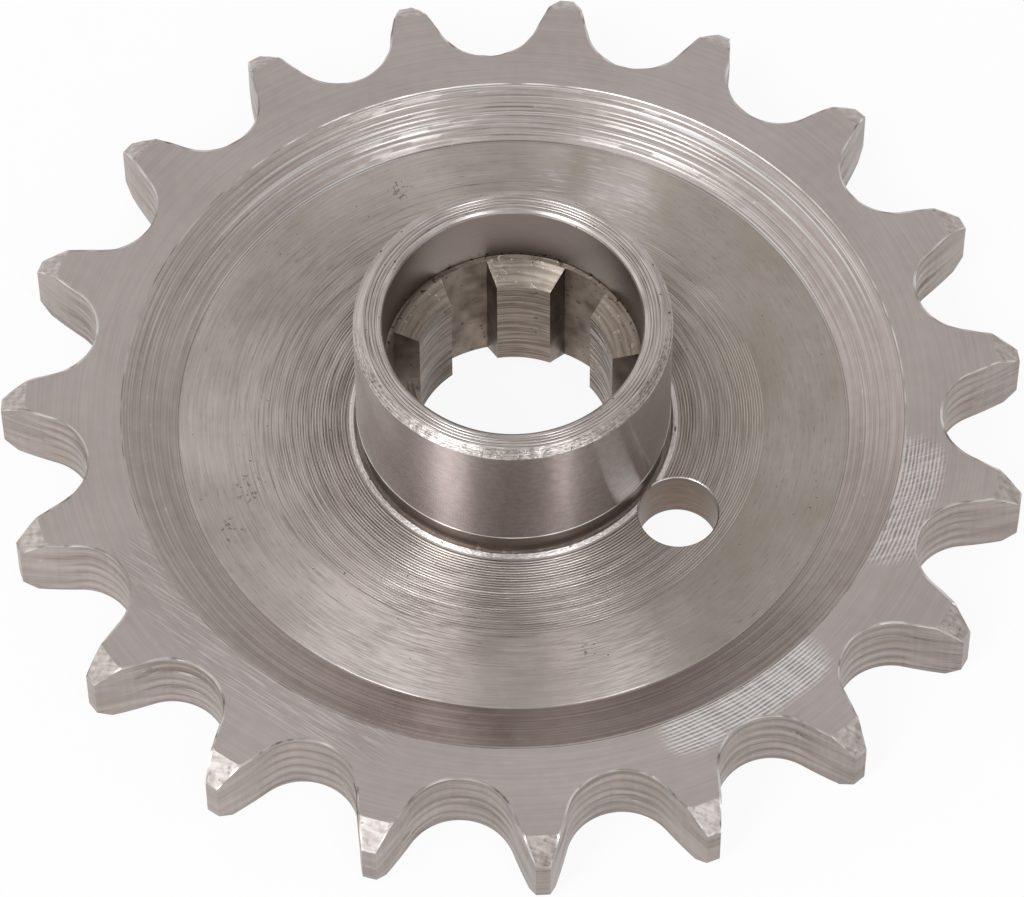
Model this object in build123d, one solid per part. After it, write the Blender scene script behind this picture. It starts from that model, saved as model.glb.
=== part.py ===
from build123d import *
import os
from math import cos, pi, radians, sin, sqrt

os.makedirs("parts", exist_ok=True)

# Chain sprocket for half-inch roller chain, turned and milled from one steel blank.
# It has a toothed ring, a recessed web on the front, and a ground hub with a
# counterbore and a six-slot spline, so the whole thing is one solid.
# Frame: the axis is Z, the back face is at Z = 0, the hub points up
# and one tooth points to -Y. Lengths are in millimetres, angles in degrees.

# Chain and pitch circle
tooth_count = 19
chain_pitch = 12.7
roller_diameter = 8.51

# Tooth form
tip_height = 2.67  # tip circle beyond the pitch circle
seat_radius = 4.44  # concave arc that a roller lies in
seat_half_angle = 63.8  # from the bottom of the seat to the start of the flank
flank_radius = 38.7  # convex arc from the seat to the tip
tooth_width = 6.8
front_chamfer_radial = 2.05
front_chamfer_axial = 1.62
back_chamfer_radial = 1.1
back_chamfer_axial = 0.9

# Recess in the front of the ring
rim_width = 2.86  # flat ring left between the roller seats and the recess
recess_taper = 4.61  # radial width of the cone down to the web
recess_depth = 1.84

# Hub
hub_diameter = 25.2
hub_height = 12.5  # above the front of the ring
hub_chamfer_radial = 0.76
hub_chamfer_axial = 0.43
neck_depth = 0.25  # undercut behind the ground surface, into the hub
neck_height = 2.15  # from the web up to the ground surface
groove_width = 0.55  # undercut in the web, out from the hub
groove_depth = 0.2

# Bore
counterbore_diameter = 20.6
counterbore_depth = 6.15  # down to the top of the lead-in cone
mouth_chamfer = 0.3
spline_slots = 6
spline_minor_diameter = 16.0
spline_major_diameter = 20.0
spline_slot_width = 4.0
spline_turn = -9.35  # from +X to the middle of the nearest slot
front_lead_depth = 1.25
back_lead_depth = 1.5
back_lead_diameter = 20.8

# Locking hole beside the hub
lock_hole_diameter = 6.4
lock_hole_gap = 0.05  # between the hub surface and the hole
lock_hole_angle = -37.2
lock_hole_chamfer = 0.2

# Worked out from the sizes above
pitch_radius = chain_pitch / 2 / sin(pi / tooth_count)
root_radius = pitch_radius - roller_diameter / 2
tip_radius = pitch_radius + tip_height
recess_radius = root_radius - rim_width
web_radius = recess_radius - recess_taper
web_top = tooth_width - recess_depth
hub_radius = hub_diameter / 2
hub_top = tooth_width + hub_height
neck_radius = hub_radius - neck_depth
lead_top = hub_top - counterbore_depth
cutter_margin = 2.0  # how far a cutter starts outside the metal


def blank():
    """Turned blank: ring with both tip chamfers, recess, undercut and hub."""
    with BuildPart() as turned:
        with BuildSketch(Plane.XZ):
            with BuildLine():
                Polyline(
                    (0, 0),
                    (tip_radius - back_chamfer_radial, 0),
                    (tip_radius, back_chamfer_axial),
                    (tip_radius, tooth_width - front_chamfer_axial),
                    (tip_radius - front_chamfer_radial, tooth_width),
                    (recess_radius, tooth_width),
                    (web_radius, web_top),
                    (hub_radius + groove_width, web_top),
                    (hub_radius + groove_width, web_top - groove_depth),
                    (neck_radius, web_top - groove_depth),
                    (neck_radius, web_top + neck_height - neck_depth),
                    (hub_radius, web_top + neck_height),
                    (hub_radius, hub_top - hub_chamfer_axial),
                    (hub_radius - hub_chamfer_radial, hub_top),
                    (0, hub_top),
                    close=True,
                )
            make_face()
        revolve(axis=Axis.Z)
    return turned.part


def tooth_gap():
    """Cutter for one gap, with its middle on +Y: roller seat and two flanks."""
    half_angle = radians(seat_half_angle)
    seat_middle = root_radius + seat_radius
    flank_start = Vector(
        seat_radius * sin(half_angle), seat_middle - seat_radius * cos(half_angle)
    )
    flank_middle = Vector(
        (seat_radius + flank_radius) * sin(half_angle),
        seat_middle - (seat_radius + flank_radius) * cos(half_angle),
    )
    # the flank runs on to a circle outside the tips
    outer_radius = tip_radius + cutter_margin
    middle_distance = flank_middle.length
    along = (outer_radius**2 + middle_distance**2 - flank_radius**2) / (2 * middle_distance)
    across = sqrt(outer_radius**2 - along**2)
    direction = flank_middle.normalized()
    flank_end = direction * along + Vector(-direction.Y, direction.X) * across
    mid_point = (flank_start + flank_end) / 2
    flank_mid = flank_middle + (mid_point - flank_middle).normalized() * flank_radius
    with BuildPart() as cutter:
        with BuildSketch():
            with BuildLine():
                seat_bottom = Vector(0, root_radius)
                ThreePointArc(mirrored(flank_start), seat_bottom, flank_start)
                ThreePointArc(flank_start, flank_mid, flank_end)
                Line(flank_end, mirrored(flank_end))
                ThreePointArc(mirrored(flank_end), mirrored(flank_mid), mirrored(flank_start))
            make_face()
        extrude(amount=tooth_width)
    return cutter.part


def mirrored(point):
    """The same point on the other side of the gap's middle."""
    return Vector(-point.X, point.Y)


def bore():
    """Turned bore: counterbore, lead-in cone, spline minor circle, back lead-in."""
    minor_radius = spline_minor_diameter / 2
    counterbore_radius = counterbore_diameter / 2
    with BuildPart() as cutter:
        with BuildSketch(Plane.XZ):
            with BuildLine():
                Polyline(
                    (0, 0),
                    (back_lead_diameter / 2, 0),
                    (minor_radius, back_lead_depth),
                    (minor_radius, lead_top - front_lead_depth),
                    (counterbore_radius, lead_top),
                    (counterbore_radius, hub_top - mouth_chamfer),
                    (counterbore_radius + mouth_chamfer, hub_top),
                    (0, hub_top),
                    close=True,
                )
            make_face()
        revolve(axis=Axis.Z)
    return cutter.part


def spline_slot():
    """Cutter for one parallel-sided slot, with its middle on +X."""
    with BuildPart() as cutter:
        Cylinder(
            spline_major_diameter / 2, lead_top, align=(Align.CENTER, Align.CENTER, Align.MIN)
        )
        Box(
            spline_major_diameter,
            spline_slot_width,
            lead_top,
            align=(Align.MIN, Align.CENTER, Align.MIN),
            mode=Mode.INTERSECT,
        )
    return cutter.part


def lock_hole():
    """Cutter for the locking hole, with its edge chamfer, on +X."""
    radius = lock_hole_diameter / 2
    distance = hub_radius + lock_hole_gap + radius
    with BuildPart() as cutter:
        with Locations((distance, 0, 0)):
            Cylinder(radius, web_top, align=(Align.CENTER, Align.CENTER, Align.MIN))
        with Locations((distance, 0, web_top - lock_hole_chamfer)):
            Cone(
                radius,
                radius + lock_hole_chamfer,
                lock_hole_chamfer,
                align=(Align.CENTER, Align.CENTER, Align.MIN),
            )
    return cutter.part


def around_axis(shape, count, first_angle):
    """Copies of a cutter, evenly spaced around the axis."""
    return [Rot(0, 0, first_angle + 360 * i / count) * shape for i in range(count)]


gaps = around_axis(tooth_gap(), tooth_count, 0)
slots = around_axis(spline_slot(), spline_slots, spline_turn)
sprocket = blank() - bore() - slots - gaps - Rot(0, 0, lock_hole_angle) * lock_hole()

export_step(sprocket, "parts/sprocket.step")
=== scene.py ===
import bmesh
import bpy
import math
from mathutils import Matrix, Quaternion, Vector, noise


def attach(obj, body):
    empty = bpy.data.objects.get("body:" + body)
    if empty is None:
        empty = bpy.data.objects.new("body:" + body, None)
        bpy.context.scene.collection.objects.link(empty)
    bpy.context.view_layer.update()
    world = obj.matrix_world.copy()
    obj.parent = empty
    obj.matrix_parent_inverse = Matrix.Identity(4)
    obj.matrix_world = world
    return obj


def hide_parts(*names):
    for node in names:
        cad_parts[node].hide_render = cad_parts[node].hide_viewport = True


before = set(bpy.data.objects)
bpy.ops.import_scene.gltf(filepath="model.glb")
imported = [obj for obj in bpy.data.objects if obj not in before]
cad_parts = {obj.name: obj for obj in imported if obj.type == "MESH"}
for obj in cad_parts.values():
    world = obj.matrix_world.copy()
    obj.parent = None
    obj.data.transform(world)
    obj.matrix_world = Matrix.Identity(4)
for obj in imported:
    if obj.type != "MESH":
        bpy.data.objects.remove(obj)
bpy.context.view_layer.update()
print("frame loaded")

millimetre = 0.001  # shapes are drawn in millimetres and scaled at the end
closeBy = 0.01  # heights nearer than this count as one
samePlace = 1e-3  # and so do vertices nearer than this
origin = Vector((0, 0, 0))
axisUp = Vector((0, 0, 1))

finishes = (
    "facedSteel", "steppedSteel", "turnedSteel", "grooveSteel", "groundSteel",
    "rimSteel", "undercutSteel", "boredSteel", "leadSteel", "broachedSteel",
    "slotSteel", "milledSteel", "filedSteel", "burrSteel", "drilledSteel",
)
finishIndex = {name: i for i, name in enumerate(finishes)}


# Small helpers for drawing with bmesh

def only(kind, geom):
    return [g for g in geom if isinstance(g, kind)]


def arcFrom(bm, vert, centre, degrees, steps):
    # draws an arc of edges from a vertex and gives its far end
    turn = math.radians(degrees)
    made = bmesh.ops.spin(bm, geom=[vert], cent=centre, axis=axisUp, angle=turn, steps=steps)
    return only(bmesh.types.BMVert, made["geom_last"])[0]


def lineFrom(bm, vert, end, steps):
    # the same along a straight line
    step = (end - vert.co) / steps
    for _ in range(steps):
        vert = bmesh.ops.extrude_vert_indiv(bm, verts=[vert])["verts"][0]
        bmesh.ops.translate(bm, verts=[vert], vec=step)
    return vert


def closeRound(bm, count):
    # mirrors half a period that lies beside +Y, then copies it round the axis
    half = bm.verts[:] + bm.edges[:]
    bmesh.ops.mirror(bm, geom=half, matrix=Matrix(), merge_dist=1e-5, axis="X")
    turn = 2 * math.pi * (count - 1) / count
    bmesh.ops.spin(
        bm,
        geom=bm.verts[:] + bm.edges[:],
        cent=origin,
        axis=axisUp,
        angle=turn,
        steps=count - 1,
        use_duplicate=True,
    )
    bmesh.ops.remove_doubles(bm, verts=bm.verts, dist=samePlace)
    return bm.edges[:]


def turnProfile(bm, verts, steps):
    # joins the vertices to a line and turns it right round the axis
    edges = [bm.edges.new(pair) for pair in zip(verts[:-1], verts[1:])]
    bmesh.ops.spin(
        bm,
        geom=verts + edges,
        cent=origin,
        axis=axisUp,
        angle=2 * math.pi,
        steps=steps,
        use_merge=True,
    )


def nextLoop(bm, edges, place, finish):
    # grows an open loop by one row of faces; place says where each new vertex goes
    made = bmesh.ops.extrude_edge_only(bm, edges=edges)["geom"]
    for vert in only(bmesh.types.BMVert, made):
        vert.co = place(vert)
    for face in only(bmesh.types.BMFace, made):
        face.material_index = finishIndex[finish]
    return [edge for edge in only(bmesh.types.BMEdge, made) if edge.is_boundary]


def radiusOf(co):
    return math.hypot(co.x, co.y)


def atRadius(co, radius, height):
    k = radius / radiusOf(co)
    return Vector((co.x * k, co.y * k, height))


def rough(co, size, shift=0.0):
    # smooth noise from -1 to 1 with lumps of that size in millimetres; each shift gives
    # another noise
    return noise.noise(Vector((co.x / size + shift, co.y / size, co.z / size)))


# The toothed ring: gap walls, tip chamfers, and both faces in to one circle

toothForm = {
    "teeth": 19,
    "chainPitch": 12.7,
    "rollerDiameter": 8.51,
    "tipHeight": 2.67,  # tip circle beyond the pitch circle
    "seatRadius": 4.44,
    "seatHalfAngle": 63.8,
    "flankRadius": 38.7,
    "width": 6.8,
    "frontChamfer": (2.05, 1.62),  # radial, axial
    "backChamfer": (1.1, 0.9),
    "seatSteps": 16,
    "flankSteps": 19,
    "landSteps": 3,
    "innerRadius": 33.4,  # where this mesh meets the turned one
    "passes": (0.0, 0.14, 0.33, 0.52, 0.7, 0.87, 1.0),  # cutter passes, as shares of the width
    "passSeam": 0.012,  # half of the slope between two passes, as such a share
    "passDepth": 0.11,  # how far they stand in or out
    "passLumps": 6,
    "passStagger": 0.4,  # how much further every other pass stands out
    "passFade": (0.3, 3),  # how far below the tips they end, and how slowly
    "flankDents": 0.12,
    "flankLumps": 1.7,
    "flankLevel": 0.42,  # the noise above this is a dent
    "edgeStrip": 0.12,  # worn strip along the top edges
    "leastFacing": 0.3,  # keeps that strip narrow where an edge runs outwards
    "burrHeight": 0.12,
    "burrReach": 0.1,
    "burrLumps": ((5, 3, 0.9), (1.1, 9, 0.55)),  # size, shift and strength of each noise
    "burrBase": 0.08,
    "burrFade": (0.4, 1.5),
    "burrSink": 0.02,
    "footInset": 0.3,
    "chamferRows": (0.25, 0.5, 0.75, 1.0),
    "chamferBow": (0.82, 0.18),  # slope at its foot, and how much it grows outwards
    "chamferDents": 0.05,
    "chamferLumps": 0.9,
    "chamferClear": 0.05,  # beside its foot it has no dents
    "flatFace": 0.999,  # a face at least this level is part of the flat ring
}


def toothedStrip():
    form = toothForm
    bm = bmesh.new()
    pitchRadius = form["chainPitch"] / 2 / math.sin(math.pi / form["teeth"])
    rootRadius = pitchRadius - form["rollerDiameter"] / 2
    tipRadius = pitchRadius + form["tipHeight"]
    seat = form["seatRadius"]
    flank = form["flankRadius"]
    lean = math.radians(form["seatHalfAngle"])
    outwards = Vector((math.sin(lean), -math.cos(lean), 0))
    seatMiddle = Vector((0, rootRadius + seat, 0))
    flankMiddle = seatMiddle + (seat + flank) * outwards

    # the flank ends where its circle meets the tip circle
    far = flankMiddle.length
    along = (tipRadius**2 + far**2 - flank**2) / (2 * far)
    across = math.sqrt(tipRadius**2 - along**2)
    towards = flankMiddle / far
    flankEnd = towards * along + Vector((-towards.y, towards.x, 0)) * across
    flankTurn = math.degrees((-outwards).angle(flankEnd - flankMiddle))
    toothMiddle = 90 - 180 / form["teeth"]
    landTurn = math.degrees(math.atan2(flankEnd.y, flankEnd.x)) - toothMiddle

    vert = bm.verts.new((0, rootRadius, 0))
    vert = arcFrom(bm, vert, seatMiddle, form["seatHalfAngle"], form["seatSteps"])
    vert = arcFrom(bm, vert, flankMiddle, -flankTurn, form["flankSteps"])
    arcFrom(bm, vert, origin, -landTurn, form["landSteps"])
    outline = closeRound(bm, form["teeth"])

    # each vertex keeps its place on the outline and the way out of the metal
    home = bm.verts.layers.float_vector.new("home")
    away = bm.verts.layers.float_vector.new("away")
    for vert in bm.verts:
        angle = math.atan2(vert.co.y, vert.co.x)
        ends = [edge.other_vert(vert).co for edge in vert.link_edges]
        ends.sort(key=lambda co: math.remainder(math.atan2(co.y, co.x) - angle, 2 * math.pi))
        run = (ends[1] - ends[0]).normalized()
        vert[home] = vert.co
        vert[away] = Vector((run.y, -run.x, 0))

    frontRadial, frontAxial = form["frontChamfer"]
    backRadial, backAxial = form["backChamfer"]
    frontStart = tipRadius - frontRadial
    backStart = tipRadius - backRadial

    def frontHeight(radius):
        share = max(0, radius - frontStart) / frontRadial
        slope, growth = form["chamferBow"]
        return form["width"] - frontAxial * share * (slope + growth * share)

    def backHeight(radius):
        return max(0, radius - backStart) / backRadial * backAxial

    def tipFade(radius, clear, reach):
        # 1 on the flanks, and 0 where the tips begin
        return min(1, max(0, (tipRadius - clear - radius) / reach))

    def inwards(vert, start, share):
        # a spot straight inwards: 0 at the worn strip's edge, 1 at the foot of the chamfer,
        # or a short way in where there is no chamfer
        spot = Vector(vert[home])
        radius = radiusOf(spot)
        facing = abs(spot.dot(Vector(vert[away]))) / radius
        edge = radius - form["edgeStrip"] / max(form["leastFacing"], facing)
        foot = start if edge - start > form["footInset"] else edge - form["footInset"]
        return atRadius(spot, edge + (foot - edge) * share, 0)

    for vert in bm.verts:
        vert.co.z = backHeight(radiusOf(vert.co))

    # back face
    loop = nextLoop(bm, outline, lambda v: inwards(v, backStart, 1), "facedSteel")
    nextLoop(bm, loop, lambda v: atRadius(v.co, form["innerRadius"], 0), "facedSteel")

    # gap walls, one row pair per pass of the cutter
    def wallRow(share, number):
        def place(vert):
            spot = Vector(vert[home])
            radius = radiusOf(spot)
            low, high = backHeight(radius), frontHeight(radius)
            fade = tipFade(radius, *form["passFade"])
            stand = rough(spot, form["passLumps"], number * 7.3)
            stand += form["passStagger"] * (number % 2)
            stand = stand * form["passDepth"] * fade
            spot.z = low + (high - low) * share
            dent = max(0, rough(spot, form["flankLumps"], 31) - form["flankLevel"])
            dent = dent * form["flankDents"] * fade
            return spot + Vector(vert[away]) * (stand - dent)

        return place

    loop = outline
    passes = form["passes"]
    for number, (low, high) in enumerate(zip(passes[:-1], passes[1:])):
        for share in (low + form["passSeam"], high - form["passSeam"]):
            loop = nextLoop(bm, loop, wallRow(share, number), "milledSteel")

    # burr thrown up along the top edge by the cutter
    def burrRow(vert):
        spot = Vector(vert[home])
        radius = radiusOf(spot)
        much = sum(rough(spot, size, shift) * part for size, shift, part in form["burrLumps"])
        much = max(0, much + form["burrBase"]) * tipFade(radius, *form["burrFade"])
        lean = Vector(vert[away]) * (much * form["burrReach"])
        spot.z = frontHeight(radius) + much * form["burrHeight"] - form["burrSink"]
        return spot + lean

    loop = nextLoop(bm, loop, burrRow, "burrSteel")

    def frontRow(share):
        def place(vert):
            spot = inwards(vert, frontStart, share)
            radius = radiusOf(spot)
            spot.z = frontHeight(radius)
            if radius > frontStart + form["chamferClear"] and share < 1:
                spot.z += rough(spot, form["chamferLumps"], 5) * form["chamferDents"]
            return spot

        return place

    loop = nextLoop(bm, loop, frontRow(0), "burrSteel")
    for share in form["chamferRows"]:
        loop = nextLoop(bm, loop, frontRow(share), "filedSteel")
    inner = form["innerRadius"]
    nextLoop(bm, loop, lambda v: atRadius(v.co, inner, form["width"]), "facedSteel")

    # rows on the flat belong to the faced ring and not to the chamfers
    bm.normal_update()
    for face in bm.faces:
        level = abs(face.normal.z) > form["flatFace"]
        if face.material_index == finishIndex["filedSteel"] and level:
            face.material_index = finishIndex["facedSteel"]
    return bm


# The turned front: recess, web with its tool marks, undercut, hub and rim

turning = {
    "segments": 361,  # a quarter of the outline's steps, so the two meet evenly
    "faceTop": 6.8,
    "recessRadius": 31.47,
    "recessEdge": (0.05, 0.17),  # half of its worn edge, and the first step's width
    "webRadius": 26.86,
    "webTop": 4.96,
    "stepRadii": (31.0, 30.57, 30.0, 29.65, 29.33, 28.95, 28.4, 28.0, 27.45),
    "stepWidth": 0.1,
    "stepHeight": 0.036,
    "stepVary": 0.5,
    "steppedRadii": (27.06, 31.22),
    "nearSteps": 0.2,  # share of that height on the near side
    "stepFade": 14,  # the steps have their full height from here on behind the axis
    "stepLumps": 6,
    "stepUneven": 0.6,
    "footGroove": (0.16, 0.08, -0.02, -0.1),  # its edges and bottom, out from the web
    "footDepth": 0.03,
    "waveRadii": (26.2, 25.4, 24.9, 24.6, 24.0, 23.5, 23.1, 22.6, 22.1, 21.7, 21.3, 20.8),
    "waveDepth": 0.004,
    # tool marks beside the hub: outer and inner radius, depth, spacing
    "grooveZones": (
        (20.2, 18.3, 0.016, 0.217),
        (18.3, 16.6, 0.03, 0.217),
        (16.6, 13.32, 0.045, 0.24),
    ),
    "grooveBottom": 0.06,  # width of a mark's dark bottom
    "grooveVary": (0.4, 0.15, 0.7),  # how much crests, places and depths differ
    "unevenRadii": (13.5, 20.2),
    "unevenness": 0.007,  # of the tool marks, along their length
    "unevenLumps": 5,
    "undercutRadius": 13.15,
    "undercutDepth": 0.2,
    # lip thrown up by the undercut: way out from its edge, height above the web, finish
    "undercutLip": (
        (0.08, -0.03, "rimSteel"),
        (-0.1, 0.05, "rimSteel"),
        (-0.28, 0.12, "rimSteel"),
        (-0.38, 0.08, "undercutSteel"),
    ),
    "undercutFloor": (-0.4, -0.6),
    "undercutDents": 0.02,
    "undercutLumps": 0.35,
    "hubRadius": 12.6,
    "neckRadius": 12.35,
    "groundBottom": 7.11,
    # the same for the lower edge of the ground surface, out from it and above its bottom
    "groundEdge": (
        (-0.03, -0.03, "rimSteel"),
        (0.05, 0.01, "burrSteel"),
        (0, 0.06, "groundSteel"),
    ),
    "hubTop": 19.3,
    "hubChamfer": (0.76, 0.43),
    "hubCorner": 0.04,
    "chamferRows": (0.04, 0.28, 0.52, 0.76, 1),
    "chamferInner": 11.78,
    "chamferDents": 0.08,
    "chamferLumps": 0.7,
    "farDents": 0.25,  # share of the dents on the far side
    "dentDrop": 0.6,  # how far a dent goes down for each millimetre inwards
    "rimRings": (11.63, 11.36, 11.1, 10.87),
    "ringHalves": (0.07, 0.02),  # of a ring's mouth and bottom
    "rimDepth": 0.04,
    "rimInner": 10.75,
}


def turnedProfile():
    # (radius, height, finish of the face that follows), from the ring's face in to the rim
    form = turning
    recess, web = form["recessRadius"], form["webRadius"]
    slope = (form["faceTop"] - form["webTop"]) / (recess - web)
    webTop = form["webTop"]

    def cone(radius):
        return webTop + (radius - web) * slope

    edge, first = form["recessEdge"]
    line = [(recess + edge, form["faceTop"], "burrSteel")]
    line.append((recess - edge, cone(recess - first), "steppedSteel"))
    line.append((recess - first, cone(recess - first), "steppedSteel"))
    half = form["stepWidth"] / 2
    for number, radius in enumerate(form["stepRadii"]):
        vary = noise.noise(Vector((number * 3.7, 0.5, 0.5)))
        lift = form["stepHeight"] / 2 * (1 + form["stepVary"] * vary)
        line.append((radius + half, cone(radius + half) + lift, "steppedSteel"))
        line.append((radius - half, cone(radius - half) - lift, "steppedSteel"))
    high, outer, inner, low = (web + out for out in form["footGroove"])
    line.append((high, cone(high), "steppedSteel"))
    line.append((outer, webTop - form["footDepth"], "steppedSteel"))
    line.append((inner, webTop - form["footDepth"], "turnedSteel"))
    line.append((low, webTop, "turnedSteel"))
    for number, radius in enumerate(form["waveRadii"]):
        line.append((radius, webTop - form["waveDepth"] * (number % 2), "turnedSteel"))
    half = form["grooveBottom"] / 2
    crestVary, placeVary, depthVary = form["grooveVary"]
    for outer, inner, depth, feed in form["grooveZones"]:
        count = round((outer - inner) / feed)
        for number in range(count):
            radius = outer - (outer - inner) * number / count
            vary = noise.noise(Vector((radius * 3.1, 0.3, 0.7)))
            line.append((radius, webTop - max(0, -vary) * crestVary * depth, "turnedSteel"))
            valley = radius - feed * (0.5 + placeVary * vary)
            bottom = webTop - depth * (1 + depthVary * vary)
            line.append((valley + half, bottom, "grooveSteel"))
            line.append((valley - half, bottom, "turnedSteel"))
    undercut = webTop - form["undercutDepth"]
    edge, neck, hub = form["undercutRadius"], form["neckRadius"], form["hubRadius"]
    for out, up, finish in form["undercutLip"]:
        line.append((edge + out, webTop + up, finish))
    for out in form["undercutFloor"]:
        line.append((edge + out, undercut, "undercutSteel"))
    line.append((neck, undercut, "boredSteel"))
    bottom = form["groundBottom"]
    line.append((neck, bottom - (hub - neck), "boredSteel"))
    for out, up, finish in form["groundEdge"]:
        line.append((hub + out, bottom + up, finish))
    radial, axial = form["hubChamfer"]
    top = form["hubTop"]
    line.append((hub, top - axial - form["hubCorner"], "rimSteel"))
    for share in form["chamferRows"]:
        line.append((hub - radial * share, top - axial * (1 - share), "rimSteel"))
    mouth, half = form["ringHalves"]
    for radius in form["rimRings"]:
        line.append((radius + mouth, top, "rimSteel"))
        line.append((radius + half, top - form["rimDepth"], "grooveSteel"))
        line.append((radius - half, top - form["rimDepth"], "rimSteel"))
        line.append((radius - mouth, top, "rimSteel"))
    line.append((form["rimInner"], top, "rimSteel"))
    return line


def turnedStrip():
    form = turning
    bm = bmesh.new()
    line = turnedProfile()
    row = bm.verts.layers.int.new("row")
    verts = []
    for number, (radius, height, _) in enumerate(line):
        vert = bm.verts.new((radius, 0, height))
        vert[row] = number
        verts.append(vert)
    turnProfile(bm, verts, form["segments"])
    # each ring of faces takes the finish of its own stretch of the profile
    for face in bm.faces:
        stretch = min(vert[row] for vert in face.verts)
        face.material_index = finishIndex[line[stretch][2]]

    # dents in the hub's chamfer, a torn floor in the undercut, uneven marks and steps
    top, axial = form["hubTop"], form["hubChamfer"][1]
    floor = form["webTop"] - form["undercutDepth"]
    slope = (form["faceTop"] - form["webTop"]) / (form["recessRadius"] - form["webRadius"])
    for vert in bm.verts:
        radius = radiusOf(vert.co)
        shift = vert[row] * 1.7
        if vert.co.z > top - axial - closeBy and radius > form["chamferInner"]:
            side = form["farDents"] if vert.co.y > 0 else 1
            dent = max(0, rough(vert.co, form["chamferLumps"])) * form["chamferDents"] * side
            down = Vector((vert.co.x, vert.co.y, radius * form["dentDrop"])) / radius
            vert.co -= down * dent
        if abs(vert.co.z - floor) < closeBy:
            vert.co.z += rough(vert.co, form["undercutLumps"], 11) * form["undercutDents"]
        least, most = form["unevenRadii"]
        if least < radius < most:
            sink = min(0, rough(vert.co, form["unevenLumps"], shift))
            vert.co.z += sink * form["unevenness"]
        least, most = form["steppedRadii"]
        if least < radius < most:
            # the photo shows the steps on the far side and only fine lines on the near one
            cone = form["webTop"] + (radius - form["webRadius"]) * slope
            behind = min(1, max(0, vert.co.y / form["stepFade"]))
            share = form["nearSteps"] + (1 - form["nearSteps"]) * behind
            share *= 1 + rough(vert.co, form["stepLumps"], shift) * form["stepUneven"]
            vert.co.z = cone + (vert.co.z - cone) * share
    return bm


# The bore: counterbore, lead-in cone, six spline slots and the back lead-in

boreForm = {
    "slots": 6,
    "turn": -9.35,  # from +X to the middle of the nearest slot
    "minorRadius": 8.0,
    "majorRadius": 10.0,
    "slotWidth": 4.0,
    "slotSteps": 10,
    "wallSteps": 6,
    "landSteps": 12,
    "counterboreRadius": 10.3,
    "leadTop": 13.15,
    "leadDepth": 1.25,
    "mouthChamfer": 0.3,
    "backLeadRadius": 10.4,
    "backLeadDepth": 1.5,
    "mouthRound": (0.35, 0.45),  # bulge of its worn chamfer, out and down, as shares
    "levels": 8,
    "landMargin": 0.1,  # faces further out than this from the lands belong to the slots
    "coneRows": (0.3, 0.45, 0.6, 1),
    "coneDents": 0.035,
    "coneLumps": 0.6,
}


def boreStrip():
    form = boreForm
    bm = bmesh.new()
    minor, major = form["minorRadius"], form["majorRadius"]
    half = form["slotWidth"] / 2
    slotCorner = Vector((half, math.sqrt(major**2 - half**2), 0))
    landCorner = Vector((half, math.sqrt(minor**2 - half**2), 0))
    slotTurn = math.degrees(math.asin(half / major))
    landTurn = 180 / form["slots"] - math.degrees(math.asin(half / minor))
    vert = bm.verts.new((0, major, 0))
    vert = arcFrom(bm, vert, origin, -slotTurn, form["slotSteps"])
    vert.co = slotCorner
    vert = lineFrom(bm, vert, landCorner, form["wallSteps"])
    arcFrom(bm, vert, origin, -landTurn, form["landSteps"])
    outline = closeRound(bm, form["slots"])
    turn = Matrix.Rotation(math.radians(form["turn"] - 90), 3, "Z")
    bmesh.ops.rotate(bm, verts=bm.verts, cent=origin, matrix=turn)

    counter, leadTop = form["counterboreRadius"], form["leadTop"]
    back = form["backLeadRadius"]

    def topOf(radius):
        return leadTop - (counter - radius) / (counter - minor) * form["leadDepth"]

    def bottomOf(radius):
        return (back - radius) / (back - minor) * form["backLeadDepth"]

    for vert in bm.verts:
        vert.co.z = bottomOf(radiusOf(vert.co))
    nextLoop(bm, outline, lambda v: atRadius(v.co, back, 0), "boredSteel")

    def splineRow(share):
        def place(vert):
            radius = radiusOf(vert.co)
            low, high = bottomOf(radius), topOf(radius)
            return Vector((vert.co.x, vert.co.y, low + (high - low) * share))

        return place

    loop = outline
    for level in range(1, form["levels"] + 1):
        loop = nextLoop(bm, loop, splineRow(level / form["levels"]), "broachedSteel")
    for face in bm.faces:
        onSpline = face.material_index == finishIndex["broachedSteel"]
        if onSpline and radiusOf(face.calc_center_median()) > minor + form["landMargin"]:
            face.material_index = finishIndex["slotSteel"]

    def coneRow(share):
        def place(vert):
            radius = radiusOf(vert.co)
            radius += (counter - radius) * share
            spot = atRadius(vert.co, radius, topOf(radius))
            spot.z += rough(spot, form["coneLumps"], 17) * form["coneDents"] * (share < 1)
            return spot

        return place

    for share in form["coneRows"]:
        loop = nextLoop(bm, loop, coneRow(share), "leadSteel")
    top = turning["hubTop"]
    mouth = form["mouthChamfer"]
    out, down = form["mouthRound"]
    for radius, height, finish in (
        (counter, (leadTop + top) / 2, "boredSteel"),
        (counter, top - mouth, "boredSteel"),
        (counter + mouth * out, top - mouth * down, "rimSteel"),
        (counter + mouth, top, "rimSteel"),
    ):
        loop = nextLoop(bm, loop, lambda v: atRadius(v.co, radius, height), finish)
    return bm


# The locking hole's drill, which is cut out of the finished mesh

lockHole = {
    "radius": 3.2,
    "distance": 15.85,
    "angle": -37.2,
    "chamfer": 0.1,
    "faceHeight": 4.96,
    "past": 1,  # how far the drill reaches past both faces
    "segments": 96,
    "slanted": (0.2, 0.9),  # how level the chamfer's faces are
}


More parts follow.
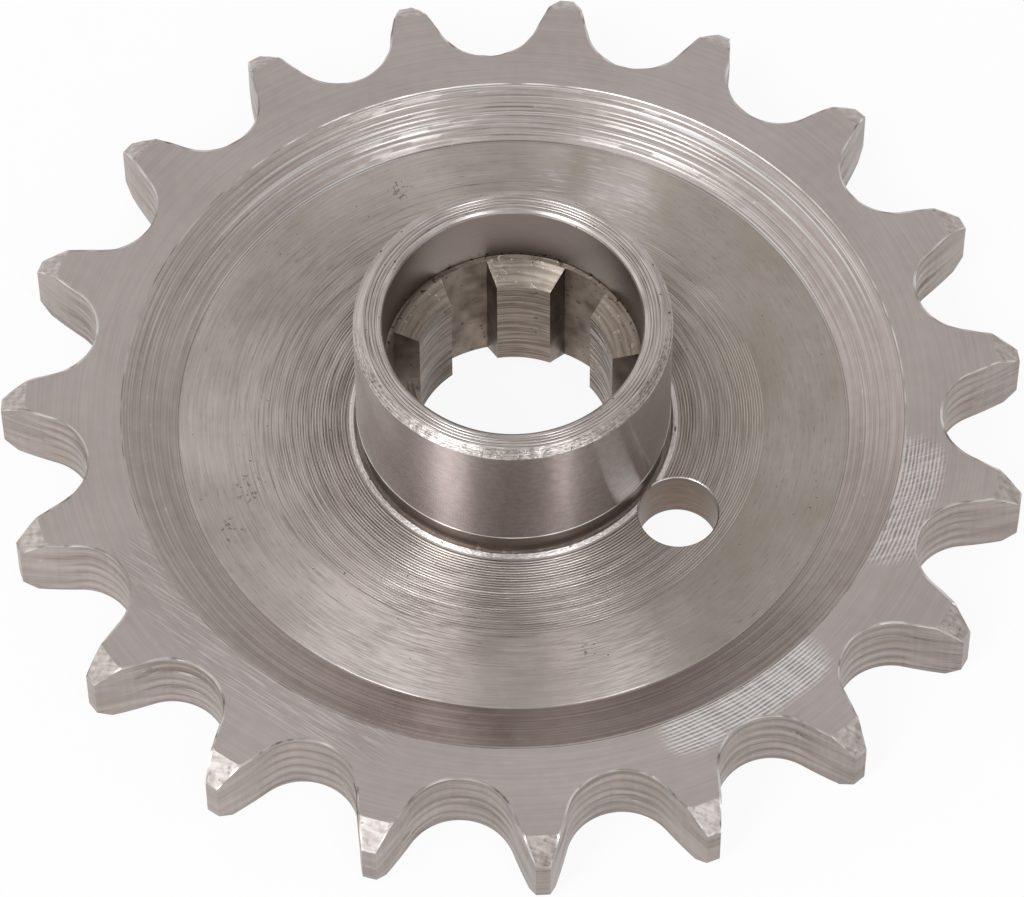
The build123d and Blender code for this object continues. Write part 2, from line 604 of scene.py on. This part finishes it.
def drill():
    form = lockHole
    bm = bmesh.new()
    radius, face = form["radius"], form["faceHeight"]
    wide, past = radius + form["chamfer"], form["past"]
    line = [(0, -past), (radius, -past), (radius, face - form["chamfer"])]
    line += [(wide, face), (wide, face + past), (0, face + past)]
    verts = [bm.verts.new((r, 0, z)) for r, z in line]
    turnProfile(bm, verts, form["segments"])
    bmesh.ops.remove_doubles(bm, verts=bm.verts, dist=1e-4)
    bmesh.ops.recalc_face_normals(bm, faces=bm.faces)
    angle = math.radians(form["angle"])
    middle = Vector((math.cos(angle), math.sin(angle), 0)) * form["distance"]
    bmesh.ops.translate(bm, verts=bm.verts, vec=middle)
    least, most = form["slanted"]
    for face in bm.faces:
        slanted = least < abs(face.normal.z) < most
        face.material_index = finishIndex["burrSteel" if slanted else "drilledSteel"]
    return bm


def openLoop(bm, height, least, most):
    # the open edges that lie at one height between two radii
    found = []
    for edge in bm.edges:
        if edge.is_boundary:
            middle = (edge.verts[0].co + edge.verts[1].co) / 2
            if abs(middle.z - height) < samePlace and least < radiusOf(middle) < most:
                found.append(edge)
    return found


def addObject(name, data):
    made = bpy.data.objects.new(name, data)
    bpy.context.scene.collection.objects.link(made)
    return made


def objectFrom(bm, name):
    mesh = bpy.data.meshes.new(name)
    bm.to_mesh(mesh)
    return addObject(name, mesh)


sharpAngle = math.radians(24)


def makeSprocket():
    bm = toothedStrip()
    for strip in (turnedStrip(), boreStrip()):
        spare = bpy.data.meshes.new("strip")
        strip.to_mesh(spare)
        bm.from_mesh(spare)
        bpy.data.meshes.remove(spare)
        strip.free()
    width, hubTop = toothForm["width"], turning["hubTop"]
    # the three meshes are joined at these heights, between two radii
    for height, least, most, finish in (
        (width, 31, 34, "facedSteel"),
        (hubTop, 10, 11.5, "rimSteel"),
        (0, 10, 34, "facedSteel"),
    ):
        made = bmesh.ops.bridge_loops(bm, edges=openLoop(bm, height, least, most))
        for face in made["faces"]:
            face.material_index = finishIndex[finish]
    bmesh.ops.recalc_face_normals(bm, faces=bm.faces)
    whole = objectFrom(bm, "whole")
    bm.free()
    drillShape = drill()
    cutter = objectFrom(drillShape, "drill")
    drillShape.free()

    for name in finishes:
        material = bpy.data.materials.new(name)
        whole.data.materials.append(material)
        cutter.data.materials.append(material)
    cut = whole.modifiers.new("lockHole", "BOOLEAN")
    cut.operation = "DIFFERENCE"
    cut.solver = "MANIFOLD"
    cut.object = cutter
    shaped = whole.evaluated_get(bpy.context.evaluated_depsgraph_get())
    mesh = bpy.data.meshes.new_from_object(shaped)

    bm = bmesh.new()
    bm.from_mesh(mesh)
    bmesh.ops.triangulate(bm, faces=[face for face in bm.faces if len(face.verts) > 4])
    groovedFinishes = {
        finishIndex[n] for n in ("steppedSteel", "turnedSteel", "grooveSteel", "rimSteel")
    }
    chamferFoot = {finishIndex["facedSteel"], finishIndex["filedSteel"]}
    for face in bm.faces:
        face.smooth = True
    for edge in bm.edges:
        a, b = edge.verts[0].co, edge.verts[1].co
        level = abs(a.z - b.z) < samePlace
        ring = level and abs(radiusOf(a) - radiusOf(b)) < samePlace
        grooved = ring and edge.link_faces[0].material_index in groovedFinishes
        foot = {face.material_index for face in edge.link_faces} == chamferFoot
        edge.smooth = not (grooved or foot or edge.calc_face_angle() > sharpAngle)
    bmesh.ops.scale(bm, verts=bm.verts, vec=Vector((millimetre,) * 3))
    bm.to_mesh(mesh)
    bm.free()
    for spare in (whole, cutter):
        bpy.data.objects.remove(spare)
    piece = addObject("sprocketSteel", mesh)
    mesh.calc_loop_triangles()
    print("sprocket:", len(mesh.loop_triangles), "triangles")
    return piece


sprocket = makeSprocket()
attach(sprocket, "root")
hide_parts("sprocket")
print("sprocket shaped")


# Steel finishes

def linearColour(code):
    parts = [int(code[i : i + 2], 16) / 255 for i in (1, 3, 5)]
    return [c / 12.92 if c <= 0.04045 else ((c + 0.055) / 1.055) ** 2.4 for c in parts] + [1.0]


def emptyTree(owner):
    owner.use_nodes = True
    owner.node_tree.nodes.clear()
    return owner.node_tree


def addNode(tree, kind, settings=None, inputs=None):
    node = tree.nodes.new("ShaderNode" + kind)
    for name, value in (settings or {}).items():
        setattr(node, name, value)
    for name, value in (inputs or {}).items():
        if isinstance(value, bpy.types.NodeSocket):
            tree.links.new(value, node.inputs[name])
        else:
            node.inputs[name].default_value = value
    return node


# A finish is built up in layers of noise. Below the first value of its range a layer
# counts as 0 and above the second as 1, and "middle" is the value that changes nothing.
# Its height is in millimetres, its shade goes from the dark colour towards the light one,
# "much" is the strength of its own colour, and limits and near spots say where it shows.
# The real marks of turning and grinding are finer than the narrowest ones here, which are
# drawn coarser so that they still show at a pixel of the photo.

def lathe(size, between, **rest):
    # marks that run round the axis; the size is degrees of arc, then width
    return {"on": "lathe", "size": size, "range": between, **rest}


def grain(size, between, **rest):
    # lumps and streaks; the size is along X, Y and Z, and "turn" turns them about Z
    return {"on": "axes", "size": size, "range": between, **rest}


def tintOrPaintedLight(shade, **rest):
    # a stretch that is lighter or darker all over, a little unevenly: mostly painted light or
    # shade, in a few places a change of tone
    return {**cloudy, "middle": -0.5, "shade": shade, **rest}


hairlines = lathe((9, 0.12), (0.3, 0.7), height=0.001, shade=0.3)
toolMarks = lathe((26, 0.3), (0.34, 0.66), height=0.002, shade=0.2)
mottle = grain((1.1, 1.1, 1.1), (0.35, 0.65), shade=0.14)
cloudy = grain((9, 9, 9), (0.38, 0.62), shade=0.24)
dirt = grain((0.5, 0.5, 0.35), (0.63, 0.67), detail=2.0, middle=0, colour="#41372f")
# where the hatching on the ring is painted bright, as if light caught it: x, y and reach of each
# spot
rightGlintSpots = [(31.4, -8.4, 4.4), (29, -13, 4.4)]
lowerGlintSpots = [(20.2, -25.6, 4), (17, -28, 4.6), (12.5, -30.4, 3.4)]
glintPatches = {"near": rightGlintSpots + lowerGlintSpots, "limits": [("radius", 35.4, 34.2), ("height", 3, 4)]}
# waves at an even pitch, bent by a noise of their own, that carry painted highlight and shade lines
# in those spots
glintRidges = {
    **glintPatches,
    "on": "rings",
    "along": "radius",
    "pitch": 0.31,
    "wobble": {"on": "lathe", "size": (9, 1.5)},
    "middle": 0,
}
# crossing strokes in those spots, lightened as painted highlight
glintStrokes = grain((3, 0.15, 3), (0.44, 0.62), middle=0.35, height=0.006, shade=1.4, **glintPatches)
# one pass of the cutter after another up the gap walls
cutterPasses = {
    "on": "rings",
    "along": "height",
    "pitch": 1.22,
    "wobble": {"on": "axes", "size": (5, 5, 30)},
    "limits": [("radius", 38.6, 36.4)],
}

steelLooks = {
    # even, faintly pink grey, with hatched patches painted white as highlights where they glint
    "facedSteel": {
        "light": "#cec2be", "dark": "#b7aba7",
        "roughness": 0.4, "anisotropy": 0.3,
        "layers": [
            hairlines,
            toolMarks,
            mottle,
            cloudy,
            grain(
                (3.5, 0.13, 3.5), (0.5, 0.64), turn=39, middle=0.25, height=0.003, shade=1.1,
                near=[(-26, -17, 10), (-18, -26, 11)],
                limits=[("radius", 35.8, 33.4), ("height", 3, 4)],
            ),
            # in the glint spots: white ring lines as painted highlight, darker lines between them
            # as painted shade, and lightened marks and strokes across them
            {**glintRidges, "range": (-0.1, 0.95), "height": 0.009, "colour": "#ffffff", "much": 0.55},
            {**glintRidges, "near": lowerGlintSpots, "range": (-0.8, 0.9), "colour": "#ffffff", "much": 0.45},
            {**glintRidges, "range": (-0.5, -1), "colour": "#867b75", "much": 0.38},
            lathe((1.6, 0.16), (0.42, 0.6), middle=0.3, height=0.005, shade=1.1, **glintPatches),
            {**glintStrokes, "turn": -15, "near": rightGlintSpots},
            {**glintStrokes, "turn": 38, "near": lowerGlintSpots},
        ],
    },
    # satin cone with fine rings, a few raised nicks lightened as painted glints, painted highlight
    # lines on the far side and painted shade on the near side and the right
    "steppedSteel": {
        "light": "#d2c6c1", "dark": "#aa9d97",
        "roughness": 0.33, "anisotropy": 0.5,
        "layers": [
            lathe((30, 0.06), (0.34, 0.66), height=0.002, shade=0.6),
            mottle,
            # painted shade: darker on the near side, on the right and where the left lamp's band
            # falls in front
            tintOrPaintedLight(-0.15, limits=[("y", -14, -26)]),
            tintOrPaintedLight(-0.25, limits=[("x", 16, 26), ("y", 2, -8)]),
            tintOrPaintedLight(-0.65, near=[(-8, -28, 8)]),
            # thin white lines on the far side: painted highlight
            lathe(
                (60, 0.06), (0.6, 0.68), middle=0, height=0.002, colour="#ffffff", much=0.7,
                limits=[("y", 2, 16)],
            ),
            lathe((1.6, 0.1), (0.72, 0.8), middle=0, height=0.005, shade=0.6),
        ],
    },
    # crisp dark and bright tool marks beside the hub that fade outwards into short streaks
    "turnedSteel": {
        "light": "#cdc1bb", "dark": "#a89c94",
        "roughness": 0.38, "anisotropy": 0.9,
        "layers": [
            lathe((9, 0.1), (0.32, 0.68), height=0.0015, shade=0.3),
            lathe((9, 0.13), (0.32, 0.68), limits=[("x", 14, -6)], height=0.002, shade=0.35),
            lathe((55, 0.085), (0.38, 0.62), limits=[("radius", 21, 17)], height=0.01, shade=1.1),
            lathe(
                (16, 0.13), (0.54, 0.66), middle=0, height=-0.006, shade=-0.8,
                limits=[("radius", 25.5, 20), ("x", 26, -4)],
            ),
            lathe((2.4, 0.1), (0.62, 0.74), middle=0, height=-0.003, shade=-0.5),
            mottle,
            cloudy,
            # painted light: lighter on the left, near the hub and on the far side
            tintOrPaintedLight(0.4, limits=[("x", -3, -18)]),
            tintOrPaintedLight(0.4, limits=[("radius", 17.5, 15)]),
            tintOrPaintedLight(0.35, near=[(4, 22, 14)]),
            # short white scratches on the far side: real scratches painted white as highlights
            lathe(
                (5, 0.16), (0.56, 0.7), middle=0, height=0.004, colour="#ffffff", much=0.4,
                near=[(7, 20, 8)],
            ),
            lathe(
                (5, 0.13), (0.38, 0.62), height=0.006, shade=0.7,
                near=[(-12, -20, 10), (6, -22, 7)],
            ),
            # painted light in front and just before the hub, painted shade to the right of the hub
            tintOrPaintedLight(0.45, limits=[("y", -8, -14), ("x", 16, 5)]),
            tintOrPaintedLight(0.4, near=[(0, -15, 5)]),
            tintOrPaintedLight(-0.3, near=[(16, 2, 7)]),
            grain(
                (6, 8, 6), (0.44, 0.64), detail=3.0, middle=0, colour="#a89d8b", much=0.4,
                limits=[("x", -34, 12)],
            ),
            grain(
                (0.3, 0.3, 0.3), (0.6, 0.66), middle=0, height=-0.006, colour="#7a7068", much=0.7,
                near=[(-21.5, -5.4, 1.8), (-23.1, -9.3, 1.5), (-8.1, 22.6, 1.4), (4.8, -21.7, 1)],
            ),
            grain(
                (0.5, 0.5, 0.5), (0.74, 0.78), detail=2.0, middle=0, height=-0.03,
                colour="#62574f", much=0.8,
            ),
        ],
    },
    # dark bottoms of the tool marks, fading along their length
    "grooveSteel": {
        "light": "#b0a59d", "dark": "#574e48",
        "roughness": 0.42, "anisotropy": 0.5,
        "layers": [
            lathe((13, 0.3), (0.34, 0.66), shade=1.0),
            tintOrPaintedLight(0.5, limits=[("radius", 16, 19)]),
            tintOrPaintedLight(0.4, limits=[("x", 6, 15)]),
        ],
    },
    # near-mirror in one direction: lamps stand on it as upright bands
    "groundSteel": {
        "light": "#c5bcb9", "dark": "#b0a6a3",
        "roughness": 0.24, "anisotropy": 1.0,
        "layers": [
            lathe((8, 0.12), (0.32, 0.68), height=0.0006, shade=0.3),
            lathe((1.5, 0.1), (0.66, 0.74), middle=0, height=-0.001, shade=0.5),
            # painted light: lighter and whiter on the left of the hub; painted shade: darker in the
            # middle front
            tintOrPaintedLight(1.2, limits=[("x", -8.5, -11.5)]),
            tintOrPaintedLight(0, limits=[("x", -8.5, -11.5)], colour="#ffffff", much=0.25),
            tintOrPaintedLight(-0.5, near=[(0.9, -12.6, 3.4)]),
            {**mottle, "size": (0.7, 0.7, 0.5), "shade": 0.45},
        ],
    },
    # bright rings at the mouth and a knocked chamfer
    "rimSteel": {
        "light": "#e4dad5", "dark": "#aea29b",
        "roughness": 0.36, "anisotropy": 0.6,
        "layers": [
            lathe((20, 0.11), (0.36, 0.64), height=0.004, shade=0.8),
            mottle,
            tintOrPaintedLight(0.5, limits=[("height", 6, 5)]),
            # the near chamfer darkened as painted shade, with knocked lumps
            lathe(
                (1.5, 0.15), (0.36, 0.62), middle=0.9, height=0.01, shade=0.7,
                limits=[("radius", 11.8, 12.0), ("y", 3, -4)],
            ),
            grain((0.4, 0.4, 0.4), (0.73, 0.77), middle=0, colour="#5f544d"),
        ],
    },
    # torn floor of the undercut, with burr on the near side lightened as painted glints
    "undercutSteel": {
        "light": "#c7bbb4", "dark": "#7f736b",
        "roughness": 0.42, "anisotropy": 0.5,
        "layers": [
            lathe((14, 0.1), (0.36, 0.64), height=0.008, shade=0.9),
            grain(
                (0.35, 0.35, 0.35), (0.56, 0.7), middle=0, height=0.01, shade=0.5,
                limits=[("y", -6, -11)],
            ),
        ],
    },
    # dull grey, darker than the outer faces as painted shade in the bore and the neck
    "boredSteel": {
        "light": "#a1958c", "dark": "#8c7f76",
        "roughness": 0.36, "anisotropy": 0.6,
        "layers": [
            hairlines,
            cloudy,
            # the neck under the hub darker still: painted shade
            tintOrPaintedLight(-0.6, limits=[("height", 7.3, 6.9)]),
            {**dirt, "limits": [("height", 14.2, 13.2), ("height", 11, 13)], "range": (0.6, 0.64)},
        ],
    },
    # lead-in cone: fine level lines and dirt
    "leadSteel": {
        "light": "#a79a8e", "dark": "#7d7066",
        "roughness": 0.4, "anisotropy": 0.3,
        "layers": [
            grain((4, 4, 0.12), (0.36, 0.64), height=0.006, shade=0.7),
            # bright specks on small bumps as painted glints, and a dark ring where the slots begin
            # as painted shade
            grain((0.35, 0.35, 0.35), (0.66, 0.74), middle=0, height=0.01, shade=0.8),
            tintOrPaintedLight(-0.8, limits=[("radius", 9.8, 10.1)]),
            {**dirt, "limits": [("height", 12.4, 13.1)]},
        ],
    },
    # lands between the slots: brown grey with level broach lines
    "broachedSteel": {
        "light": "#95877c", "dark": "#685b51",
        "roughness": 0.38, "anisotropy": 0.2,
        "layers": [
            grain((5, 5, 0.22), (0.38, 0.62), height=0.02, shade=0.8),
            # painted shade on the left land, painted light on the right land, with bright broach
            # lines there partly painted highlight
            tintOrPaintedLight(-0.7, limits=[("x", -3, -5.5)]),
            tintOrPaintedLight(0.7, limits=[("x", 3, 5)]),
            grain((6, 6, 0.3), (0.45, 0.6), limits=[("x", 3.5, 5.5)], height=0.05, shade=1.8),
            mottle,
            {**dirt, "range": (0.67, 0.71)},
        ],
    },
    # slots: darker still, as painted shade down in the slots
    "slotSteel": {
        "light": "#85776b", "dark": "#64574d",
        "roughness": 0.42,
        "layers": [
            grain((1.6, 1.6, 3), (0.36, 0.64), height=0.012, shade=1.0),
            {**mottle, "shade": 0.5},
            {**dirt, "range": (0.66, 0.7)},
        ],
    },
    # gap walls: broad soft cutter bands, chatter across them, smeared nicks lightened as painted
    # glints
    "milledSteel": {
        "light": "#aea29d", "dark": "#897e78",
        "roughness": 0.38,
        "layers": [
            # lighter towards the left walls: painted light
            tintOrPaintedLight(0.35, limits=[("x", 10, -30)]),
            grain((7, 7, 0.9), (0.36, 0.64), height=0.015, shade=0.4),
            {**cutterPasses, "range": (-1, 1), "height": 0.026, "shade": 0.45},
            # darker seams between the passes: painted shadow under each step
            {**cutterPasses, "range": (-0.6, -1), "middle": 0, "colour": "#786b61", "much": 0.38},
            grain((5, 5, 0.24), (0.34, 0.66), height=0.003, shade=0.2),
            # thin dark level lines: painted shade
            grain((9, 9, 0.17), (0.62, 0.7), middle=0, height=-0.012, shade=-0.6),
            grain((0.5, 0.5, 6), (0.34, 0.66), height=0.003, shade=0.16),
            grain((0.9, 0.9, 0.6), (0.7, 0.78), detail=2.0, middle=0, height=0.03, shade=0.8),
            grain((4, 4, 3), (0.5, 0.64), detail=2.0, middle=0, colour="#9c927c", much=0.15),
        ],
    },
    # filed chamfers at the tips: white and scratched
    "filedSteel": {
        "light": "#ddd4cf", "dark": "#aea19a",
        "roughness": 0.52,
        "layers": [
            grain((0.6, 0.6, 0.6), (0.34, 0.66), height=0.01, shade=0.5),
            # the chamfer of the middle front tooth darker: painted shade
            tintOrPaintedLight(-0.5, near=[(0, -40, 5)]),
            grain((2, 0.2, 2), (0.34, 0.66), turn=20, height=0.005, shade=0.35),
            grain(
                (0.55, 0.55, 0.55), (0.6, 0.7), detail=3.0, middle=0, height=-0.01,
                colour="#7d746c", much=0.6,
                limits=[("y", -14, -26)],
            ),
        ],
    },
    # edges burred and rubbed bright
    "burrSteel": {
        "light": "#e8e2de", "dark": "#a59a93",
        "roughness": 0.36,
        "layers": [
            grain((2.2, 2.2, 1), (0.34, 0.6), height=0.006, shade=0.9),
            grain(
                (1.4, 1.4, 1), (0.6, 0.7), middle=0, colour="#6a6059", much=0.6,
                limits=[("radius", 34, 35)],
            ),
        ],
    },
    # brown grey drilled wall
    "drilledSteel": {
        "light": "#87766a", "dark": "#67594f",
        "roughness": 0.4,
        "layers": [
            grain((2.5, 2.5, 0.2), (0.36, 0.64), height=0.003, shade=0.4),
            mottle,
        ],
    },
}


def addMath(tree, operation, a, b):
    return addNode(tree, "Math", {"operation": operation}, {0: a, 1: b}).outputs[0]


def vectorMath(tree, operation, inputs):
    return addNode(tree, "VectorMath", {"operation": operation}, inputs).outputs


def mixColour(tree, share, low, high, **settings):
    settings["data_type"] = "RGBA"
    return addNode(tree, "Mix", settings, {0: share, 6: low, 7: high}).outputs[2]


def stepBetween(tree, value, start, full, smooth=True):
    way = {"interpolation_type": "SMOOTHSTEP" if smooth else "LINEAR"}
    return addNode(tree, "MapRange", way, {"Value": value, 1: start, 2: full}).outputs[0]


def layerNoise(tree, places, layer):
    spot = places[layer["on"]]
    if layer["on"] == "lathe":
        arc, width = layer["size"]
        share = math.degrees(1) / arc
        stretch = (share, share, 1 / width)
    else:
        stretch = tuple(1 / size for size in layer["size"])
    if "turn" in layer:
        turned = {"rotation_type": "Z_AXIS"}
        angle = math.radians(layer["turn"])
        spot = addNode(tree, "VectorRotate", turned, {"Vector": spot, "Angle": angle}).outputs[0]
    spot = vectorMath(tree, "MULTIPLY", {0: spot, 1: stretch})[0]
    inputs = {"Vector": spot, "Scale": 1.0, "Detail": layer.get("detail", 1.0)}
    return addNode(tree, "TexNoise", {}, inputs).outputs["Fac"]


def layerValue(tree, places, layer):
    if layer["on"] == "rings":
        wobble = layerNoise(tree, places, layer["wobble"])
        turns = addMath(tree, "DIVIDE", places[layer["along"]], layer["pitch"])
        turns = addMath(tree, "ADD", turns, wobble)
        angle = addMath(tree, "MULTIPLY", turns, math.tau)
        lumps = addNode(tree, "Math", {"operation": "SINE"}, {0: angle}).outputs[0]
    else:
        lumps = layerNoise(tree, places, layer)
    low, high = layer["range"]
    value = stepBetween(tree, lumps, low, high, False)
    value = addMath(tree, "SUBTRACT", value, layer.get("middle", 0.5))
    for name, start, full in layer.get("limits", ()):
        value = addMath(tree, "MULTIPLY", value, stepBetween(tree, places[name], start, full))
    if "near" in layer:
        cover = 0.0
        for x, y, reach in layer["near"]:
            ends = {0: places["flat"], 1: (x, y, 0)}
            apart = vectorMath(tree, "DISTANCE", ends)["Value"]
            cover = addMath(tree, "MAXIMUM", cover, stepBetween(tree, apart, reach, reach / 2))
        value = addMath(tree, "MULTIPLY", value, cover)
    return value


profileFall = 1.3  # what a millimetre of height adds to the way along the profile
shadeLimits = {"Min": -0.5, "Max": 1.8}  # a mark may be darker or lighter than both colours


def placesIn(tree):
    # where a point lies, in millimetres: along the axes, from the axis, and for tool marks
    # as (direction, direction, way along the turned profile)
    spot = addNode(tree, "TexCoord").outputs["Object"]
    spot = vectorMath(tree, "SCALE", {0: spot, "Scale": 1 / millimetre})[0]
    parts = addNode(tree, "SeparateXYZ", {}, {0: spot}).outputs
    flat = addNode(tree, "CombineXYZ", {}, {0: parts[0], 1: parts[1]}).outputs[0]
    radius = vectorMath(tree, "LENGTH", {0: flat})["Value"]
    outwards = vectorMath(tree, "NORMALIZE", {0: flat})[0]
    outParts = addNode(tree, "SeparateXYZ", {}, {0: outwards}).outputs
    fall = addMath(tree, "MULTIPLY", parts[2], profileFall)
    profile = addMath(tree, "SUBTRACT", radius, fall)
    turned = addNode(tree, "CombineXYZ", {}, {0: outParts[0], 1: outParts[1], 2: profile})
    return {
        "axes": spot,
        "flat": flat,
        "lathe": turned.outputs[0],
        "x": parts[0],
        "y": parts[1],
        "height": parts[2],
        "radius": radius,
    }


def steelMaterial(name):
    look = steelLooks[name]
    tree = emptyTree(bpy.data.materials[name])
    places = placesIn(tree)
    shade, height, stains = 0.5, 0.0, []
    for layer in look["layers"]:
        value = layerValue(tree, places, layer)
        if "shade" in layer:
            shade = addMath(tree, "ADD", shade, addMath(tree, "MULTIPLY", value, layer["shade"]))
        if "height" in layer:
            height = addMath(tree, "ADD", height, addMath(tree, "MULTIPLY", value, layer["height"]))
        if "colour" in layer:
            much = addMath(tree, "MULTIPLY", value, layer.get("much", 1.0))
            stains.append((much, linearColour(layer["colour"])))
    shade = addNode(tree, "Clamp", {}, {0: shade, **shadeLimits}).outputs[0]
    dark, light = linearColour(look["dark"]), linearColour(look["light"])
    colour = mixColour(tree, shade, dark, light, clamp_factor=False, clamp_result=True)
    for much, stain in stains:
        colour = mixColour(tree, much, colour, stain)
    relief = {"Strength": 1.0, "Distance": millimetre, "Height": height}
    tangent = addNode(tree, "Tangent", {"direction_type": "RADIAL", "axis": "Z"})
    inputs = {
        "Base Color": colour,
        "Metallic": 1.0,
        "Roughness": look["roughness"],
        "Anisotropic": look.get("anisotropy", 0.0),
        "Anisotropic Rotation": 0.25,  # a quarter turn: glints lie across the tool marks
        "Normal": addNode(tree, "Bump", {}, relief).outputs[0],
        "Tangent": tangent.outputs[0],
    }
    shader = addNode(tree, "BsdfPrincipled", {}, inputs)
    addNode(tree, "OutputMaterial", {}, {"Surface": shader.outputs[0]})


for name in finishes:
    steelMaterial(name)
print("materials made")


# Camera, floor and light

photoView = {
    "place": (-14.476, -278.632, 450.698),  # millimetres, from a fit to the photograph
    "aim": (-0.334, -4.054, 6.8),
    "roll": -0.29,
    "lens": 229.83,
    "sensor": 36.0,
}


def placeCamera():
    data = bpy.data.cameras.new("photoCamera")
    data.lens = photoView["lens"]
    data.sensor_width = photoView["sensor"]
    data.clip_start = 0.01
    data.clip_end = 20
    camera = addObject("photoCamera", data)
    place = Vector(photoView["place"]) * millimetre
    aim = Vector(photoView["aim"]) * millimetre
    facing = (aim - place).to_track_quat("-Z", "Y")
    camera.location = place
    camera.rotation_mode = "QUATERNION"
    camera.rotation_quaternion = facing @ Quaternion((0, 0, 1), math.radians(photoView["roll"]))
    bpy.context.scene.camera = camera


placeCamera()

studio = {
    "floorColour": "#f4f2f0",
    "floorSize": 60.0,  # metres
    "floorDrop": 0.00003,  # metres; keeps the floor clear of the back face
    "floorWhite": 0.92,  # share of the floor that shows plain white to the camera
    "lampColour": (0.87, 0.945, 1.0),
    "above": "#d3d3d3",
    # the glow goes over to a colour as the direction's part along an axis goes from a to b
    "sides": [
        ("Y", -0.36, -0.56, "#686868"),
        ("Y", -0.76, -0.92, "#ffffff"),
        ("X", -0.15, -0.75, "#f2f2f2"),
        ("X", 0.1, 0.7, "#bcbcbc"),
        ("Z", 0.3, 0.02, "#b4b4b4"),
        ("Y", 0.86, 0.98, "#828282"),
    ],
}

# A strip lamp draws one bright band across everything that was turned or ground. For each:
# where the band lies (degrees from the front towards the right), how far the lamp leans
# from the mirrored view towards the camera, its width, length and radiance.
stripLamps = {
    "leftStrip": (-25.7, 1.15, 0.28, 0.85, 5.2),
    "rightStrip": (16, 1.15, 0.1, 0.85, 7.6),
}


def layFloor():
    bm = bmesh.new()
    bmesh.ops.create_grid(bm, x_segments=1, y_segments=1, size=studio["floorSize"] / 2)
    bmesh.ops.translate(bm, verts=bm.verts, vec=(0, 0, -studio["floorDrop"]))
    floor = objectFrom(bm, "floor")
    bm.free()
    material = bpy.data.materials.new("whitePaper")
    tree = emptyTree(material)
    paper = linearColour(studio["floorColour"])
    matt = addNode(tree, "BsdfDiffuse", {}, {"Color": paper})
    white = addNode(tree, "Emission", {}, {"Color": (1, 1, 1, 1), "Strength": 1.0})
    path = addNode(tree, "LightPath")
    seen = path.outputs["Is Camera Ray"]
    for other in ("Is Glossy Ray", "Is Transmission Ray"):
        seen = addMath(tree, "MAXIMUM", seen, path.outputs[other])
    seen = addMath(tree, "MULTIPLY", seen, studio["floorWhite"])
    both = addNode(tree, "MixShader", {}, {0: seen, 1: matt.outputs[0], 2: white.outputs[0]})
    # from below the floor is clear, so that the back of the part can be seen
    below = addNode(tree, "NewGeometry").outputs["Backfacing"]
    clear = addNode(tree, "BsdfTransparent")
    ways = {0: below, 1: both.outputs[0], 2: clear.outputs[0]}
    surface = addNode(tree, "MixShader", {}, ways).outputs[0]
    addNode(tree, "OutputMaterial", {}, {"Surface": surface})
    floor.data.materials.append(material)


def lightStudio():
    world = bpy.data.worlds.new("studio")
    bpy.context.scene.world = world
    tree = emptyTree(world)
    way = addNode(tree, "TexCoord").outputs["Generated"]
    parts = addNode(tree, "SeparateXYZ", {}, {0: way}).outputs
    colour = linearColour(studio["above"])
    for axis, start, full, code in studio["sides"]:
        share = stepBetween(tree, parts[axis], start, full)
        colour = mixColour(tree, share, colour, linearColour(code))
    glow = addNode(tree, "Background", {}, {"Color": colour, "Strength": 1.0})
    addNode(tree, "OutputWorld", {}, {"Surface": glow.outputs[0]})
    lens = (Vector(photoView["place"]) - Vector(photoView["aim"])).normalized()
    level = math.hypot(lens.x, lens.y)
    for name, (band, lean, width, length, radiance) in stripLamps.items():
        turn = math.radians(band)
        away = Vector((lean * math.sin(turn), level - lean * math.cos(turn), 0))
        away.z = math.sqrt(1 - away.length_squared)
        data = bpy.data.lights.new(name, "AREA")
        data.shape = "RECTANGLE"
        data.size, data.size_y = width, length
        data.energy = radiance * math.pi * width * length
        data.color = studio["lampColour"]
        lamp = addObject(name, data)
        # the length runs along the directions that light the same band
        along = Vector((math.cos(turn), math.sin(turn), 0)).cross(away).normalized()
        lamp.matrix_world = Matrix((along.cross(away), along, away)).transposed().to_4x4()
        lamp.location = away


layFloor()
lightStudio()
bpy.context.scene.view_settings.view_transform = "Standard"
print("stage set")
